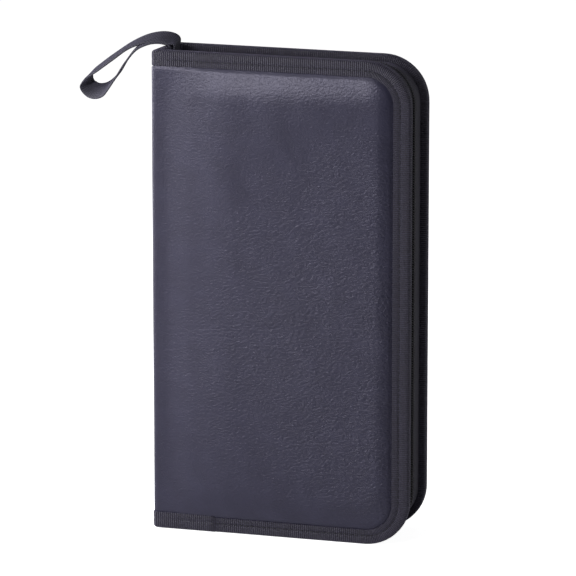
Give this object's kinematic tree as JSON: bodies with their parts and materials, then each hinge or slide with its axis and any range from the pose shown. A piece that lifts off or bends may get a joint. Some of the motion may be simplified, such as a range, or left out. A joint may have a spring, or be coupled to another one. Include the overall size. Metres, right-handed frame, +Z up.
{
  "type": "cd storage case",
  "caption": "Black zip-round disc case like a tall book, padded leather covers, woven tape binding, sleeve leaves inside and a webbing wrist strap at the spine's head.",
  "frame": {"origin": "middle of the spine's foot, on the surface that the case stands on", "axes": "+Z up along the spine, +X from the spine towards the zip side, +Y from the front cover towards the back cover"},
  "size_m": [0.2097, 0.0494, 0.2963],
  "materials": {
    "black_leather": "semi-gloss, fine pressed grain",
    "black_webbing": "matt, ribbed weave",
    "grey_foam": "matt, closed-cell foam",
    "grey_board": "matt",
    "black_lining": "matt, non-woven",
    "black_zip_tape": "matt, herringbone weave",
    "black_nylon_coil": "satin",
    "white_sleeves": "matt, non-woven",
    "nickel_zinc": "bright nickel plating"
  },
  "bodies": {
    "spine": {"spine_skin": "black_leather", "spine_board": "grey_board", "spine_lining": "black_lining", "spine_foot_binding": "black_webbing", "spine_head_binding": "black_webbing", "leaf_binder": "black_lining", "sleeve_leaves": "white_sleeves", "wrist_strap": "black_webbing"},
    "front_cover": {"front_skin": "black_leather", "front_foam": "grey_foam", "front_board": "grey_board", "front_lining": "black_lining", "front_binding": "black_webbing", "front_zip_tape": "black_zip_tape", "front_zip_teeth": "black_nylon_coil", "front_zip_stop": "nickel_zinc"},
    "back_cover": {"back_skin": "black_leather", "back_foam": "grey_foam", "back_board": "grey_board", "back_lining": "black_lining", "back_binding": "black_webbing", "back_zip_tape": "black_zip_tape", "back_zip_teeth": "black_nylon_coil", "back_zip_stop": "nickel_zinc", "zip_tail": "black_zip_tape"},
    "slider": {"zip_slider": "nickel_zinc"},
    "tab": {"pull_tab": "nickel_zinc"}
  },
  "joints": [
    {"name": "front_cover_fold", "type": "hinge", "parent": "spine", "child": "front_cover", "pos_m": [0.0042, -0.0225, 0.145], "axis": [0, 0, -1], "range_deg": [0, 105]},
    {"name": "back_cover_fold", "type": "hinge", "parent": "spine", "child": "back_cover", "pos_m": [0.0042, 0.0225, 0.1435], "axis": [0, 0, 1], "range_deg": [0, 105]},
    {"name": "zip_run", "type": "slide", "parent": "back_cover", "child": "slider", "axis": [1, 0, 0], "range_m": [0, 0.11]},
    {"name": "tab_pin", "type": "hinge", "parent": "slider", "child": "tab", "pos_m": [0.0125, 0, 0.0013], "axis": [0, 1, 0], "range_deg": [0, 135]}
  ]
}
